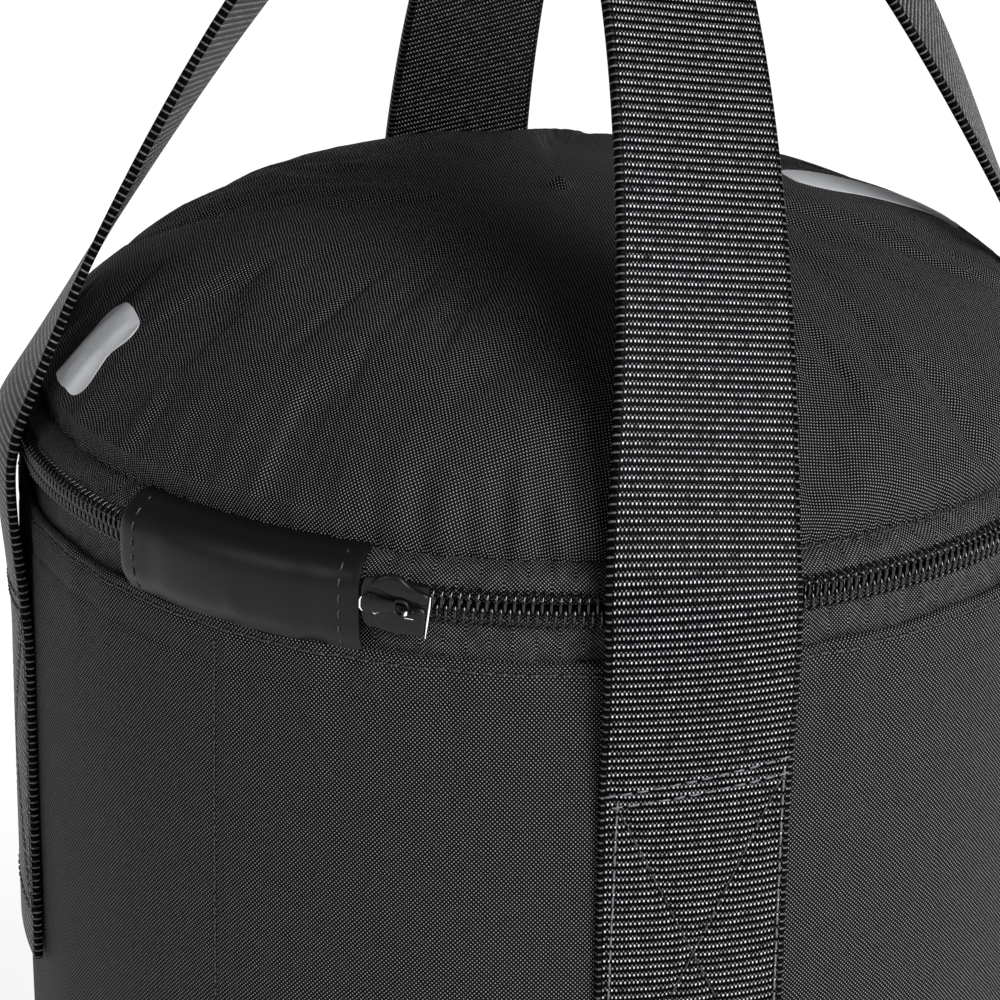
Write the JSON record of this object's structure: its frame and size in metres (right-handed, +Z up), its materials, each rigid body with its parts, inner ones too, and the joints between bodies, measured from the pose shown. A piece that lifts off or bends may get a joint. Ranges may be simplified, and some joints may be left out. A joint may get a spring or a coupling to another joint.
{
  "type": "round zip shoe bag",
  "caption": "Round drum bag with a padded wall, a domed lid on a coated hinge tab, a coil zip round the rim and webbing carry handles.",
  "frame": {"origin": "centre of the underside, on the surface the bag stands on", "axes": "+Z up through the lid, +Y towards the hinge tab at the back, +X to the right handle ends seen from the front"},
  "size_m": [0.237, 0.2379, 0.454],
  "materials": {
    "oxford_fabric": "matt woven",
    "foam": "foam",
    "lining": "smooth woven",
    "binding": "ribbed",
    "board": "matt",
    "zip_tape": "herringbone",
    "zip_coil": "gloss",
    "black_metal": "satin",
    "coated_tab": "smooth matt",
    "webbing": "ribbed weave"
  },
  "bodies": {
    "bag": {"wall_outer": "oxford_fabric", "wall_foam": "foam", "wall_lining": "lining", "wall_seam_tape": "binding", "rim_binding": "binding", "base_panel": "oxford_fabric", "base_board": "board", "base_lining": "lining", "base_piping": "binding", "zip_tape_lower": "zip_tape", "zip_coil_lower": "zip_coil", "zip_tape_ends": "zip_tape", "zip_coil_ends": "zip_coil", "zip_stops": "zip_coil", "hinge_tab_lower": "coated_tab", "strap_base_rear_right": "webbing", "strap_base_rear_left": "webbing", "strap_base_front_left": "webbing", "strap_base_front_right": "webbing"},
    "lid": {"lid_panel": "oxford_fabric", "lid_foam": "foam", "lid_lining": "lining", "lid_rim_binding": "binding", "zip_tape_upper": "zip_tape", "zip_coil_upper": "zip_coil", "hinge_tab_upper": "coated_tab"},
    "rear_handle": {"handle_rear": "webbing"},
    "front_handle": {"handle_front": "webbing"},
    "slider": {"slider_body": "black_metal"},
    "pull": {"slider_pull": "black_metal"}
  },
  "joints": [
    {"name": "lid_hinge", "type": "hinge", "parent": "bag", "child": "lid", "pos_m": [0, 0.1205, 0.31], "axis": [-1, 0, 0], "range_deg": [0, 90]},
    {"name": "rear_handle_swing", "type": "hinge", "parent": "bag", "child": "rear_handle", "pos_m": [0, 0.1015, 0.3095], "axis": [-1, 0, 0], "range_deg": [0, 150]},
    {"name": "front_handle_swing", "type": "hinge", "parent": "bag", "child": "front_handle", "pos_m": [0, -0.1015, 0.3095], "axis": [1, 0, 0], "range_deg": [0, 150]},
    {"name": "zip_slide", "type": "hinge", "parent": "bag", "child": "slider", "pos_m": [0, 0, 0.31], "axis": [0, 0, 1], "range_deg": [0, 324]},
    {"name": "pull_swing", "type": "hinge", "parent": "slider", "child": "pull", "pos_m": [-0.03845, 0.11365, 0.31], "axis": [0, 0, 1], "range_deg": [0, 150]}
  ],
  "couplings": [
    {"joint": "rear_handle_swing", "follows": "lid_hinge", "ratio": 1.65},
    {"joint": "front_handle_swing", "follows": "lid_hinge", "ratio": 1.65}
  ]
}
